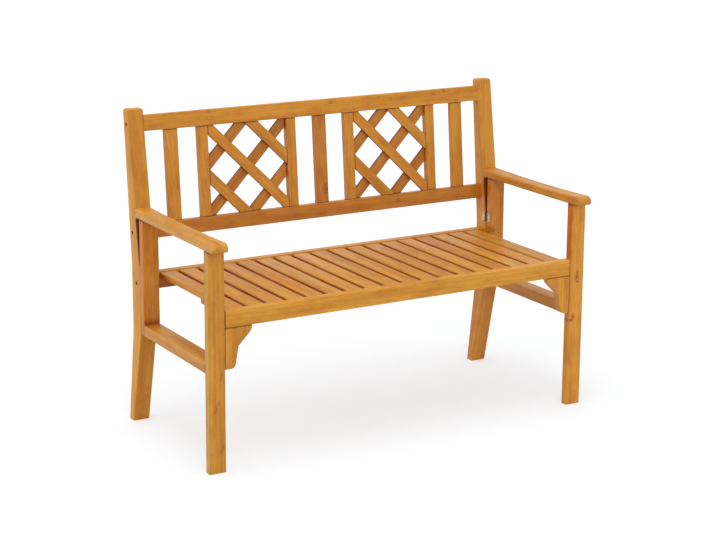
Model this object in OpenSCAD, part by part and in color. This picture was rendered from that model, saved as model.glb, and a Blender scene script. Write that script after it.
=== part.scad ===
// Folding garden bench for two people, in oiled softwood.
// The seat flips up on two bolts through the rear legs and rests on a bracket at each front leg.
// Behind the armrests, butt hinges let the side frames fold in once the seat is up.
// X runs along the bench, Y from front to back and Z up. The origin is on the ground under the middle.

/* [Overall] */
// Width over the outer faces of the legs
bench_w = 1180; // [1000:10:1500]
// Height of the rear legs, which run up as the posts of the back
bench_h = 878; // [820:2:960]
// Height of the top of the seat
seat_top = 430; // [410:1:450]
// Height of the top of the armrests
arm_top = 614; // [590:1:660]
// From the front of the front legs to the front of the rear legs
frame_d = 422; // [390:1:480]

/* [Boards] */
// Width of the legs, armrests and stretchers, seen from the front
leg_w = 47; // [40:1:58]
// Thickness of the front legs, rails and brackets
board_t = 22; // [20:0.5:26]
// Radius of the eased edges along the boards
ease_r = 2; // [0.5:0.25:3]

/* [Rear legs] */
// Depth of the rear leg between its two bends
rear_leg_d = 52; // [48:1:62]
// Depth of the rear leg at the ground
foot_d = 27.5; // [22:0.5:40]
// How far the foot's rear edge stands behind the straight part
foot_rake = 36.5; // [20:0.5:50]
// Depth of the post at its top
post_top_d = 28; // [26:0.5:40]
// How far the post's rear edge stands behind the straight part at the top
post_rake = 38.5; // [30:0.5:50]
// Height of the lower bend
low_bend = 265; // [200:1:300]
// Height of the upper bend
high_bend = 454; // [440:1:480]
// Radius of the corners at the top of the post, seen from the side
post_top_r = 4.5; // [2:0.5:8]
// Radius of those corners, seen from the front
post_crown_r = 5.5; // [3:0.5:8]

/* [Back] */
// Height of the top rail, along the slope of the back
top_rail_h = 44; // [36:1:60]
// Height of the bottom rail, along the slope of the back
bottom_rail_h = 41; // [34:1:56]
// How far the posts stand above the top rail
post_above_rail = 18; // [10:1:40]
// Open height between the seat and the bottom rail
back_lift = 94; // [88:1:110]
// How far the bottom rail's front edge lies behind the front of the post
bottom_rail_inset = 18; // [15:0.5:22]
// Width of a plain slat of the back
back_slat_w = 38.5; // [30:0.5:50]
// Thickness of a plain slat of the back
back_slat_t = 16; // [12:0.5:18]
// Open width beside each plain slat
upright_gap = 60.4; // [45:0.2:75]
// Length of the tenons on the uprights
tenon_l = 10; // [6:0.5:14]
// Thickness of the tenons on the uprights
tenon_t = 8; // [6:0.5:10]
// Width of the shoulder on each side of a tenon
tenon_shoulder = 4; // [2:0.5:6]

/* [Lattice] */
// Width of the stiles at the sides of a lattice panel
stile_w = 29.5; // [24:0.5:36]
// Thickness of those stiles
stile_t = 20; // [18.5:0.5:20]
// Width of a lattice bar
bar_w = 30; // [22:0.5:36]
// Thickness of a lattice bar
bar_t = 9; // [6:0.5:9]
// Open distance between two parallel bars
bar_gap = 67.7; // [50:0.1:80]

/* [Side frames] */
// Thickness of the armrest
arm_t = 25; // [22:0.5:30]
// How far the armrest reaches in front of the front leg
arm_nose = 27; // [10:1:40]
// Radius of the round on top of the armrest's nose
arm_nose_r = 15; // [12:0.5:16]
// Radius of the round below the nose
arm_chin_r = 6; // [5.5:0.5:7]
// How far the armrest's top dips between its ends
arm_dip = 4; // [2:0.5:6]
// Radius of the armrest's top edges
arm_edge_r = 5; // [3:0.5:5]
// Running gap between a folding side frame and the rear leg
fold_gap = 2; // [1:0.1:2.5]
// Height of the side stretcher
stretcher_h = 31; // [24:1:40]
// Height of the side stretcher's underside above the ground
stretcher_z = 267; // [220:1:280]

/* [Corner brackets] */
// Reach of the bracket along the seat's front rail
bracket_w = 77.5; // [70:0.5:86]
// Height of the bracket
bracket_h = 109; // [100:1:125]
// Radius of the upper lobe's corner
upper_lobe_r = 28; // [24:1:32]
// Lean of the upper lobe's side, from upright
upper_lean = 45; // [42:1:48]
// Reach of the lower lobe from the leg
lower_lobe_w = 30.5; // [28:0.5:33]
// Radius of the lower lobe's corner
lower_lobe_r = 14; // [10:0.5:18]
// Lean of the lower lobe's side, from upright
lower_lean = 10; // [6:1:14]

/* [Seat] */
// Number of seat slats
slat_count = 18; // [18]
// Open distance between two seat slats
slat_gap = 11.2; // [6:0.2:16]
// Thickness of a seat slat
slat_t = 14; // [12:0.5:16]
// Radius of a seat slat's edges
slat_edge_r = 4; // [2:0.25:5]
// From the inner face of a leg to the edge of the nearest slat
seat_margin = 19; // [14:0.5:28]
// Height of the seat's front rail
front_rail_h = 45; // [40:1:60]
// Height of the seat's rear rail
rear_rail_h = 44; // [40:1:48]
// Depth of the rear rail where it shows above the slats
rear_rail_d = 24; // [22:0.5:28]
// How far the rear rail stands above the slats
rear_rail_proud = 2; // [0:0.5:3]
// From the front of the rear legs to the front of the rear rail
rear_rail_back = 16; // [14:0.5:18]
// Depth of the ledge that carries the ends of the slats
ledge_d = 9; // [8:0.5:12]
// Depth of the batten under the slats, from front to back
batten_d = 40; // [30:1:50]
// Thickness of the batten
batten_t = 18; // [12:0.5:20]
// From the front of the seat to the middle of the batten
batten_y = 184; // [170:1:230]
// From the inner face of a leg to the end of the batten
batten_in = 31; // [25:1:60]

/* [Seat pivot] */
// From the front of the rear legs to the pivot
pivot_back = 24; // [22:0.5:26]
// Depth of the pivot below the top of the seat
pivot_drop = 24; // [23:0.5:27]
// Radius of the pivot bolt
bolt_r = 3; // [2.5:0.5:4]
// Radius of the bolt's head
bolt_head_r = 5; // [4.5:0.5:6]
// Outer radius of the bush in the rear rail
bush_r = 5; // [4.5:0.5:6]
// Length of the bush
bush_l = 36; // [24:1:50]
// How far the bolt stops short of the bush's inner end
bolt_short = 2; // [1:0.5:5]
// Outer radius of the washer between the leg and the rear rail
washer_r = 8; // [6:0.5:10]
// Thickness of the washer
washer_t = 1; // [0.8:0.1:1.5]

/* [Hinges] */
// Height of a hinge
hinge_h = 25; // [24:1:32]
// Reach of a leaf from the pin's axis
leaf_w = 19; // [16:0.5:20]
// Thickness of a leaf
leaf_t = 1.5; // [1.2:0.1:1.6]
// Radius of a leaf's outer corners
leaf_corner_r = 5; // [3:0.5:6]
// Distance from the pin's axis to the flat part of a leaf
leaf_root = 0.5; // [0.3:0.1:0.8]
// Outer radius of a knuckle
knuckle_r = 3; // [2.6:0.1:3.5]
// Radius of the hinge pin
hinge_pin_r = 1.5; // [1.2:0.1:1.6]
// Radius of the pin's heads
hinge_cap_r = 2.5; // [2:0.1:2.6]
// Height of the pin's heads
hinge_cap_t = 0.8; // [0.5:0.1:1.2]
// Height of the upper hinge's middle above the seat
hinge_rise = 40; // [35:1:60]
// Distance of the lower hinge's edge above the stretcher
hinge_above_stretcher = 8; // [4:1:20]
// Distance of a leaf's screws from the pin's axis
leaf_screw_y = 11; // [9:0.5:12]
// Distance between the two screws of a leaf
leaf_screw_pitch = 14; // [12:0.5:16]
// Radius of a leaf screw's shank
leaf_screw_r = 1.4; // [1:0.1:1.8]
// Radius of a leaf screw's countersunk head
leaf_screw_head_r = 2.8; // [2.4:0.1:3.2]
// Length of a leaf screw
leaf_screw_l = 16; // [10:1:20]

/* [Fasteners] */
// Radius of the screws that hold the back rails to the posts
rail_screw_r = 3; // [2.5:0.5:4]
// Radius of their heads
rail_screw_head_r = 5; // [4.5:0.5:6]
// Distance of these screws behind the front of the rails
rail_screw_back = 14; // [11:0.5:15]
// Depth to which they enter the rails
rail_screw_grip = 38; // [25:1:60]
// Height of the heads of these screws and of the pivot bolts
head_t = 4; // [3:0.5:5]
// Depth of the recess round those heads
recess_d = 7; // [5:0.5:12]
// Radius of the dowels in the side frames
dowel_r = 4; // [3:0.5:5]
// Depth to which a dowel enters end grain
dowel_long = 22; // [16:1:28]
// Depth to which a dowel enters the thickness of a board
dowel_short = 14; // [10:1:16]
// Distance between two dowels of a joint
dowel_pitch = 24; // [18:1:28]
// Radius of the seat screws
seat_screw_r = 2; // [1.5:0.25:2.5]
// Radius of the seat screws' heads
seat_screw_head_r = 3.8; // [3.5:0.1:4]
// Height of the seat screws' heads
seat_screw_head_t = 2.5; // [2:0.25:3]
// Depth to which a seat screw enters a slat
seat_screw_grip = 9; // [6:0.5:10]
// Length of wood that a seat screw clamps against the slat
seat_screw_clamp = 11; // [8:0.5:11]

/* [Clearances] */
// Gap between each end of the seat's front rail and the legs
seat_side_gap = 1; // [0.5:0.1:2]
// Gap under the front rail, over the brackets
seat_rest_gap = 0.2; // [0.1:0.05:0.4]
// Play on each side of the washers
washer_play = 0.2; // [0.1:0.05:0.4]
// Gap between the armrest and the slope of the post
arm_gap = 0.5; // [0.3:0.1:1.5]
// Radial gap of a bolt that turns in its bush, or a pin in its knuckles
running_gap = 0.05; // [0.03:0.01:0.1]
// Radial gap round screws, dowels and tenons that are fixed
fixed_gap = 0.1; // [0.05:0.05:0.2]
// Radial gap round the heads in the posts' recesses
recess_gap = 0.4; // [0.2:0.1:0.8]
// Radial gap round the heads of the seat screws
seat_head_gap = 0.2; // [0.1:0.1:0.4]
// Space left at the blind end of a hole
end_space = 0.5; // [0.2:0.1:1]
// Gap above and below each knuckle of a hinge
knuckle_play = 0.15; // [0.1:0.05:0.3]
// Radial gap between a knuckle and the other leaf
knuckle_clear = 0.3; // [0.25:0.05:0.4]
// Gap between a knuckle and the wood behind it
knuckle_stand = 0.2; // [0.1:0.05:0.2]

/* [Hidden] */
round_fn = 32;
// Steps in the arcs of the armrest's nose, and straight stretches in its top
nose_steps = 7;
chin_steps = 3;
arm_stretches = 6;
// How far a cutting shape reaches past the face that it opens
overcut = 1;
wood_front = [0.78, 0.55, 0.25];
wood_light = [0.84, 0.64, 0.40];
wood_dark = [0.68, 0.43, 0.18];
steel = [0.72, 0.70, 0.66];
zinc = [0.80, 0.78, 0.72];

inner_half = bench_w / 2 - leg_w;
leg_mid_x = inner_half + leg_w / 2;
arm_bottom = arm_top - arm_t;

// Rear legs, as distances from the front of the front legs
foot_rear_y = frame_d + rear_leg_d + foot_rake;
foot_front_y = foot_rear_y - foot_d;
post_rear_y = frame_d + rear_leg_d + post_rake;
post_front_y = post_rear_y - post_top_d;
post_front_slope = (post_front_y - frame_d) / (bench_h - high_bend);
post_rear_slope = post_rake / (bench_h - high_bend);
post_rear_reach = post_rear_y - post_top_r * (post_rear_slope + norm([1, post_rear_slope]) - 1);
function post_front_at(z) = frame_d + max(0, z - high_bend) * post_front_slope;

// The middle of the bench's depth, where the origin lies
mid_y = (max(post_rear_reach, foot_rear_y) - arm_nose) / 2;

// The plane of the back: flush with the posts at the top rail, behind them at the bottom rail
panel_z = seat_top + back_lift;
panel_y = post_front_at(panel_z) + bottom_rail_inset;
top_rail_top = bench_h - post_above_rail;
top_rail_mid_z = top_rail_top - top_rail_h / 2;
back_tilt = atan((post_front_at(top_rail_mid_z) - panel_y) / (top_rail_mid_z - panel_z));
panel_h = (top_rail_top - panel_z) / cos(back_tilt);
opening_h = panel_h - top_rail_h - bottom_rail_h;
top_rail_s = bottom_rail_h + opening_h;

// Places across the back, from the middle outwards
inner_stile_x = back_slat_w / 2 + upright_gap + stile_w / 2;
outer_slat_x = inner_half - upright_gap - back_slat_w / 2;
outer_stile_x = outer_slat_x - back_slat_w / 2 - upright_gap - stile_w / 2;
lattice_w = outer_stile_x - inner_stile_x - stile_w;
lattice_x = (outer_stile_x + inner_stile_x) / 2;
bar_pitch = bar_w + bar_gap;
bar_steps = floor(((lattice_w + opening_h) / sqrt(8) - bar_w / 2) / bar_pitch);
bar_reach = lattice_w + opening_h;

// Side frames
arm_stile_rear_y = frame_d - fold_gap;
arm_stile_front_y = arm_stile_rear_y - board_t;
dowel_front_y = board_t / 2;
dowel_rear_y = arm_stile_rear_y - board_t / 2;
bracket_top = seat_top - front_rail_h - seat_rest_gap;

// Seat
slat_span = 2 * (inner_half - seat_margin);
slat_w = (slat_span - (slat_count - 1) * slat_gap) / slat_count;
slat_pitch = slat_w + slat_gap;
slat_bottom = seat_top - slat_t;
slat_front_y = board_t;
rear_rail_front_y = frame_d + rear_rail_back;
rear_rail_top = seat_top + rear_rail_proud;
rear_rail_half = inner_half - washer_t - 2 * washer_play;
pivot_y = frame_d + pivot_back;
pivot_z = seat_top - pivot_drop;
front_ledge_y = slat_front_y + ledge_d / 2;
rear_ledge_y = rear_rail_front_y - ledge_d / 2;
seat_screw_rows = [front_ledge_y, batten_y, rear_ledge_y];

// Hinges, from the top down
hinge_zs = [
    seat_top + hinge_rise,
    stretcher_z + stretcher_h + hinge_above_stretcher + hinge_h / 2
];
hinge_y = frame_d - fold_gap / 2;
hinge_x = inner_half - knuckle_r - knuckle_stand;
knuckle_h = hinge_h / 3;

function slat_name(i) = str("seat_slat_", i < 10 ? "0" : "", i);

// A rectangle with rounded corners, centred
module eased_rect(w, d, r) {
    square([w - 2 * r, d], center = true);
    square([w, d - 2 * r], center = true);
    for (sx = [-1, 1], sy = [-1, 1])
        translate([sx * (w / 2 - r), sy * (d / 2 - r)])
            circle(r, $fn = round_fn);
}

// Turns an outline in Y and Z into a solid along X, centred on X = 0
module along_x(length) {
    translate([-length / 2, 0, 0])
        rotate([90, 0, 90])
            linear_extrude(length)
                children();
}

// Boards with eased long edges; each is given its lowest corner and its size
module board_x(low, size) {
    translate([low.x + size.x / 2, low.y + size.y / 2, low.z + size.z / 2])
        along_x(size.x)
            eased_rect(size.y, size.z, ease_r);
}

module board_y(low, size, edge_r = ease_r) {
    translate([low.x + size.x / 2, low.y + size.y, low.z + size.z / 2])
        rotate([90, 0, 0])
            linear_extrude(size.y)
                eased_rect(size.x, size.z, edge_r);
}

module board_z(low, size) {
    translate([low.x + size.x / 2, low.y + size.y / 2, low.z])
        linear_extrude(size.z)
            eased_rect(size.x, size.y, ease_r);
}

// A round bar from one point along X, towards the middle of the bench for either side
module bar_inwards(side, from_x, y, z, length, r) {
    translate([side * from_x, y, z])
        rotate([0, -90 * side, 0])
            cylinder(length, r, r, $fn = round_fn);
}

// Puts the sloping back's own frame in place: Z runs up its front face, Y into its thickness
module on_back() {
    translate([0, panel_y, panel_z])
        rotate([-back_tilt, 0, 0])
            children();
}

// Points of an arc in Y and Z, from one angle to another
function arc(centre, r, from, to, steps) =
    [for (k = [0:steps]) let (a = from + (to - from) * k / steps) centre + r * [cos(a), sin(a)]];

rear_y = frame_d + rear_leg_d;

// Outlines of the rear leg's three straight stretches in Y and Z, drawn in by i at front and rear
function foot_outline(i) = [
    [foot_front_y + i, 0], [foot_rear_y - i, 0], [rear_y - i, low_bend], [frame_d + i, low_bend]
];
function middle_outline(i) = [
    [frame_d + i, low_bend], [rear_y - i, low_bend], [rear_y - i, high_bend], [frame_d + i, high_bend]
];
function post_outline(i, drop) =
    let (
        z = bench_h - drop - post_top_r + i,
        front_c = [post_front_at(z) + post_top_r * norm([1, post_front_slope]), z],
        rear_c = [rear_y + (z - high_bend) * post_rear_slope - post_top_r * norm([1, post_rear_slope]), z]
    )
    concat(
        [[frame_d + i, high_bend], [rear_y - i, high_bend]],
        arc(rear_c, post_top_r - i, -atan(post_rear_slope), 0, 1),
        arc(rear_c, post_top_r - i, 15, 90, 5),
        arc(front_c, post_top_r - i, 90, 180 - atan(post_front_slope), 6)
    );

// A straight stretch with rounded edges: slices that are drawn in further as they near the faces
module eased_stretch(outlines, edge_r = ease_r) {
    hull()
        for (k = [0:len(outlines) - 1])
            along_x(leg_w - 2 * edge_r * (1 - sin(ease_angles[k])))
                polygon(outlines[k]);
}

ease_angles = [0, 30, 60, 90];
function draw_ins(edge_r) = [for (a = ease_angles) edge_r * (1 - cos(a))];

// How far a round of radius r draws an outline in, at a depth below the board's face
function drawn_at(r, depth) = r - sqrt(r * r - pow(max(0, r - depth), 2));

// Depths of the slices through an edge of radius r
function slice_depths(r) = [for (a = ease_angles) r * (1 - sin(a))];

// The post's top corners have a larger radius than its long edges, so it takes the slices of both
module post_stretch() {
    hull()
        for (depth = concat(slice_depths(ease_r), slice_depths(post_crown_r)))
            along_x(leg_w - 2 * depth)
                polygon(post_outline(drawn_at(ease_r, depth), drawn_at(post_crown_r, depth)));
}

module rear_leg_blank() {
    eased_stretch([for (i = draw_ins(ease_r)) foot_outline(i)]);
    eased_stretch([for (i = draw_ins(ease_r)) middle_outline(i)]);
    post_stretch();
}

// Screws through the posts into the ends of the back rails, in Y and Z on the back's slope
function on_back_yz(s, n) = [
    panel_y + s * sin(back_tilt) + n * cos(back_tilt),
    panel_z + s * cos(back_tilt) - n * sin(back_tilt)
];
rail_screw_yz = [
    on_back_yz(bottom_rail_h / 2, rail_screw_back),
    on_back_yz(top_rail_s + top_rail_h / 2, rail_screw_back)
];

// The shank and head of a screw or bolt that enters a post from outside, or its hole
module post_screw(side, yz, shank_r, head_r, grip, gap, space) {
    recess_floor = bench_w / 2 - recess_d;
    head = space > 0 ? recess_d + overcut : head_t;
    bar_inwards(side, recess_floor, yz.x, yz.y, leg_w - recess_d + grip + space, shank_r + gap);
    bar_inwards(side, recess_floor + head, yz.x, yz.y, head, head_r + (space > 0 ? recess_gap : 0));
}

module rail_screws(side, gap, space) {
    for (yz = rail_screw_yz)
        post_screw(side, yz, rail_screw_r, rail_screw_head_r, rail_screw_grip, gap, space);
}

module pivot_bolt(side, gap, space) {
    grip = inner_half - rear_rail_half + bush_l - bolt_short;
    post_screw(side, [pivot_y, pivot_z], bolt_r, bolt_head_r, grip, gap, space);
}

module rear_leg(side) {
    color(wood_front)
        difference() {
            translate([side * leg_mid_x, 0, 0])
                rear_leg_blank();
            rail_screws(side, fixed_gap, end_space);
            pivot_bolt(side, fixed_gap, end_space);
            leaf_screws(side, [1], fixed_gap, end_space);
        }
}

// Where the uprights of the back stand, with their width and thickness
uprights = [
    [-outer_slat_x, back_slat_w, back_slat_t],
    [-outer_stile_x, stile_w, stile_t],
    [-inner_stile_x, stile_w, stile_t],
    [0, back_slat_w, back_slat_t],
    [inner_stile_x, stile_w, stile_t],
    [outer_stile_x, stile_w, stile_t],
    [outer_slat_x, back_slat_w, back_slat_t]
];

// The tenons of one upright, or the mortises for them
module tenons(upright, gap, space) {
    w = upright[1] - 2 * tenon_shoulder + 2 * gap;
    t = tenon_t + 2 * gap;
    l = opening_h + 2 * (tenon_l + space);
    translate([upright[0] - w / 2, board_t / 2 - t / 2, bottom_rail_h - tenon_l - space])
        cube([w, t, l]);
}

module back_rail(s, h) {
    color(wood_front)
        difference() {
            on_back()
                difference() {
                    board_x([-inner_half, 0, s], [2 * inner_half, board_t, h]);
                    for (u = uprights)
                        tenons(u, fixed_gap, end_space);
                }
            for (side = [-1, 1])
                rail_screws(side, fixed_gap, end_space);
        }
}

module back_upright(u) {
    color(wood_front)
        on_back()
            union() {
                board_z([u[0] - u[1] / 2, board_t / 2 - u[2] / 2, bottom_rail_h], [u[1], u[2], opening_h]);
                tenons(u, 0, 0);
            }
}

// One layer of slanting bars in the panel on one side; turn is 1 for a rise to the right
module lattice_bars(side, layer, turn) {
    color(layer == 0 ? wood_front : wood_dark)
        on_back()
            intersection() {
                translate([side * lattice_x - lattice_w / 2, board_t / 2 - bar_t * (1 - layer), bottom_rail_h])
                    cube([lattice_w, bar_t, opening_h]);
                translate([side * lattice_x, 0, bottom_rail_h + opening_h / 2])
                    rotate([0, -45 * turn, 0])
                        for (k = [-bar_steps:bar_steps])
                            translate([-bar_reach / 2, 0, k * bar_pitch - bar_w / 2])
                                cube([bar_reach, board_t, bar_w]);
            }
}

// A dowel through one point, reaching a length back and a length on along its direction
module dowel(at, turn, back, on, gap, space) {
    translate(at)
        rotate(turn)
            translate([0, 0, -back - space])
                cylinder(back + on + 2 * space, dowel_r + gap, dowel_r + gap, $fn = round_fn);
}

// The ten dowels of one side frame, or their holes
module side_dowels(side, gap, space) {
    stretcher_mid_z = stretcher_z + stretcher_h / 2;
    for (dx = [-1, 1]) {
        x = side * leg_mid_x + dx * dowel_pitch / 2;
        for (y = [dowel_front_y, dowel_rear_y])
            dowel([x, y, arm_bottom], [0, 0, 0], dowel_long, dowel_short, gap, space);
        dowel([x, board_t, stretcher_mid_z], [-90, 0, 0], dowel_short, dowel_long, gap, space);
        dowel([x, arm_stile_front_y, stretcher_mid_z], [-90, 0, 0], dowel_long, dowel_short, gap, space);
    }
    for (drop = [bracket_h / 4, bracket_h * 3 / 4])
        dowel([side * inner_half, dowel_front_y, bracket_top - drop], [0, 90 * side, 0],
            dowel_short, dowel_long, gap, space);
}

module front_leg(side) {
    color(wood_front)
        difference() {
            board_z([side * leg_mid_x - leg_w / 2, 0, 0], [leg_w, board_t, arm_bottom]);
            side_dowels(side, fixed_gap, end_space);
        }
}

module arm_stile(side) {
    color(wood_dark)
        difference() {
            board_z([side * leg_mid_x - leg_w / 2, arm_stile_front_y, stretcher_z],
                [leg_w, board_t, arm_bottom - stretcher_z]);
            side_dowels(side, fixed_gap, end_space);
            leaf_screws(side, [-1], fixed_gap, end_space);
        }
}

module side_stretcher(side) {
    color(wood_light)
        difference() {
            board_y([side * leg_mid_x - leg_w / 2, board_t, stretcher_z],
                [leg_w, arm_stile_front_y - board_t, stretcher_h]);
            side_dowels(side, fixed_gap, end_space);
        }
}

// The armrest's top dips along an arc between its nose and the post
arm_back_y = post_front_at(arm_top);
arm_dip_y = (arm_back_y - arm_nose) / 2;
arm_root_y = arm_nose_r - arm_nose;
function arm_top_at(y) = arm_top - arm_dip * (1 - pow((y - arm_dip_y) / (arm_back_y - arm_dip_y), 2));

// Outlines of the armrest's nose and of a stretch behind it in Y and Z; i draws them in, less below than above
function nose_outline(i) = concat(
    arc([arm_root_y, arm_top_at(arm_root_y) - arm_nose_r], arm_nose_r - i, 90, 180, nose_steps),
    arc([arm_chin_r - arm_nose, arm_bottom + arm_chin_r], arm_chin_r - i, 180, 270, chin_steps),
    [[arm_root_y, arm_bottom + i * ease_r / arm_edge_r]]
);
function arm_outline(from, to, i) = [
    [from, arm_top_at(from) - i], [from, arm_bottom + i * ease_r / arm_edge_r],
    [to, arm_bottom + i * ease_r / arm_edge_r], [to, arm_top_at(to) - i]
];

module armrest_blank() {
    stretch = (arm_back_y + leg_w - arm_root_y) / arm_stretches;
    eased_stretch([for (i = draw_ins(arm_edge_r)) nose_outline(i)], arm_edge_r);
    for (k = [1:arm_stretches])
        eased_stretch(
            [for (i = draw_ins(arm_edge_r))
                arm_outline(arm_root_y + (k - 1) * stretch, arm_root_y + k * stretch, i)],
            arm_edge_r
        );
}

module armrest(side) {
    color(wood_light)
        difference() {
            translate([side * leg_mid_x, 0, 0])
                armrest_blank();
            translate([0, post_front_at(arm_bottom) - arm_gap * norm([1, post_front_slope]), arm_bottom])
                rotate([-atan(post_front_slope), 0, 0])
                    translate([-bench_w, 0, -bench_h / 2])
                        cube([2 * bench_w, bench_h, bench_h]);
            side_dowels(side, fixed_gap, end_space);
        }
}

// The bracket's outline for the left leg: X from the leg's inner face, Y down from the seat rail
module bracket_outline() {
    upper = [bracket_w - upper_lobe_r, 0];
    upper_touch = upper + upper_lobe_r * [cos(upper_lean), -sin(upper_lean)];
    lower = [lower_lobe_w - lower_lobe_r, lower_lobe_r - bracket_h];
    lower_touch = lower + lower_lobe_r * [cos(lower_lean), -sin(lower_lean)];
    intersection() {
        translate([0, -2 * bracket_h])
            square([2 * bracket_w, 2 * bracket_h]);
        union() {
            translate(upper)
                circle(upper_lobe_r, $fn = 4 * round_fn);
            polygon([[0, 0], upper, upper_touch, [0, upper_touch.y - upper_touch.x / tan(upper_lean)]]);
            translate(lower)
                circle(lower_lobe_r, $fn = 4 * round_fn);
            polygon([
                [0, 0], [lower_touch.x - lower_touch.y * tan(lower_lean), 0],
                lower_touch, [lower.x, -bracket_h], [0, -bracket_h]
            ]);
        }
    }
}

module corner_bracket(side) {
    color(wood_front)
        difference() {
            translate([side * inner_half, board_t, bracket_top])
                rotate([90, 0, 0])
                    linear_extrude(board_t)
                        mirror([side > 0 ? 1 : 0, 0])
                            bracket_outline();
            side_dowels(side, fixed_gap, end_space);
        }
}

function slat_x(i) = (i - (slat_count + 1) / 2) * slat_pitch;

// One seat screw, pointing up into a slat, or its hole and the recess below its head
module seat_screw(i, y, gap, space) {
    head_top = slat_bottom - seat_screw_clamp;
    head_h = space > 0 ? front_rail_h : seat_screw_head_t;
    head_r = seat_screw_head_r + (space > 0 ? seat_head_gap : 0);
    translate([slat_x(i), y, head_top - head_h])
        cylinder(head_h, head_r, head_r, $fn = round_fn);
    translate([slat_x(i), y, head_top])
        cylinder(seat_screw_clamp + seat_screw_grip + space, seat_screw_r + gap, seat_screw_r + gap,
            $fn = round_fn);
}

module seat_screw_row(y, gap, space) {
    for (i = [1:slat_count])
        seat_screw(i, y, gap, space);
}

// An outline in Y and Z: a rail with a ledge for the slats on one side and two eased outer corners
module rail_outline(depth, height, ledge, slat_drop) {
    eased = [for (a = [180:15:270]) [ease_r + ease_r * cos(a), ease_r + ease_r * sin(a)]];
    polygon(concat(
        eased,
        [[depth + ledge, 0], [depth + ledge, height - slat_drop], [depth, height - slat_drop], [depth, height]],
        [for (p = eased) [p.y, height - p.x]]
    ));
}

module seat_front_rail() {
    color(wood_front)
        difference() {
            translate([0, 0, seat_top - front_rail_h])
                along_x(2 * (inner_half - seat_side_gap))
                    rail_outline(slat_front_y, front_rail_h, ledge_d, slat_t);
            seat_screw_row(front_ledge_y, fixed_gap, end_space);
        }
}

module seat_rear_rail() {
    color(wood_dark)
        difference() {
            translate([0, rear_rail_front_y + rear_rail_d, rear_rail_top - rear_rail_h])
                mirror([0, 1, 0])
                    along_x(2 * rear_rail_half)
                        rail_outline(rear_rail_d, rear_rail_h, ledge_d, slat_t + rear_rail_proud);
            seat_screw_row(rear_ledge_y, fixed_gap, end_space);
            for (side = [-1, 1])
                bar_inwards(side, inner_half, pivot_y, pivot_z,
                    inner_half - rear_rail_half + bush_l, bush_r + fixed_gap);
        }
}

module seat_batten() {
    half = inner_half - batten_in;
    color(wood_dark)
        difference() {
            board_x([-half, batten_y - batten_d / 2, slat_bottom - batten_t], [2 * half, batten_d, batten_t]);
            seat_screw_row(batten_y, fixed_gap, end_space);
        }
}

module seat_slat(i) {
    color(wood_light)
        difference() {
            board_y([slat_x(i) - slat_w / 2, slat_front_y, slat_bottom],
                [slat_w, rear_rail_front_y - slat_front_y, slat_t], slat_edge_r);
            for (y = seat_screw_rows)
                seat_screw(i, y, fixed_gap, end_space);
        }
}

module seat_screws() {
    color(steel)
        for (y = seat_screw_rows)
            seat_screw_row(y, 0, 0);
}

module pivot_bolts() {
    color(steel)
        for (side = [-1, 1])
            pivot_bolt(side, 0, 0);
}

module pivot_washers() {
    color(zinc)
        for (side = [-1, 1])
            difference() {
                bar_inwards(side, inner_half - washer_play, pivot_y, pivot_z, washer_t, washer_r);
                bar_inwards(side, inner_half + overcut, pivot_y, pivot_z, washer_t + 2 * overcut, bolt_r + fixed_gap);
            }
}

module pivot_bushes() {
    color(zinc)
        for (side = [-1, 1])
            difference() {
                bar_inwards(side, rear_rail_half, pivot_y, pivot_z, bush_l, bush_r);
                bar_inwards(side, inner_half, pivot_y, pivot_z, bush_l + leg_w, bolt_r + running_gap);
            }
}

module back_rail_screws() {
    color(steel)
        for (side = [-1, 1])
            rail_screws(side, 0, 0);
}

module side_frame_dowels() {
    color(wood_light)
        for (side = [-1, 1])
            side_dowels(side, 0, 0);
}

// The screws of the leaves on one side; sign is 1 for the rear leg's leaves and -1 for the stile's
module leaf_screws(side, signs, gap, space) {
    for (z = hinge_zs, s = signs, k = [-1, 1])
        translate([side * (inner_half - leaf_t), hinge_y + s * leaf_screw_y, z + k * leaf_screw_pitch / 2])
            rotate([0, 90 * side, 0]) {
                cylinder(leaf_t, leaf_screw_head_r + gap, leaf_screw_r + gap, $fn = round_fn);
                cylinder(leaf_screw_l + space, leaf_screw_r + gap, leaf_screw_r + gap, $fn = round_fn);
            }
}

// A leaf's outline in Y and Z, with rounded outer corners
module leaf_outline(sign) {
    intersection() {
        eased_rect(2 * leaf_w, hinge_h, leaf_corner_r);
        translate([sign > 0 ? leaf_root : -leaf_w, -hinge_h / 2])
            square([leaf_w - leaf_root, hinge_h]);
    }
}

// One leaf with its knuckles; sign is 1 for the rear leg's leaf and -1 for the stile's
module hinge_leaf(side, z, sign) {
    own = sign > 0 ? [-1, 1] : [0];
    others = sign > 0 ? [0] : [-1, 1];
    wood_x = knuckle_r + knuckle_stand;
    clear_r = knuckle_r + knuckle_clear;
    bore_r = hinge_pin_r + running_gap;
    translate([side * hinge_x, hinge_y, z])
        difference() {
            union() {
                translate([side * (wood_x - leaf_t / 2), 0, 0])
                    along_x(leaf_t)
                        leaf_outline(sign);
                for (level = own)
                    translate([0, 0, level * knuckle_h])
                        cylinder(knuckle_h - 2 * knuckle_play, knuckle_r, knuckle_r, center = true, $fn = round_fn);
            }
            for (level = others)
                translate([0, 0, level * (knuckle_h + overcut / 2)])
                    cylinder(knuckle_h + 2 * knuckle_play + abs(level) * overcut, clear_r, clear_r,
                        center = true, $fn = round_fn);
            cylinder(2 * hinge_h, bore_r, bore_r, center = true, $fn = round_fn);
        }
}

module hinge_leaves(side, sign) {
    color(zinc)
        difference() {
            for (z = hinge_zs)
                hinge_leaf(side, z, sign);
            leaf_screws(side, [sign], fixed_gap, end_space);
        }
}

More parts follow.
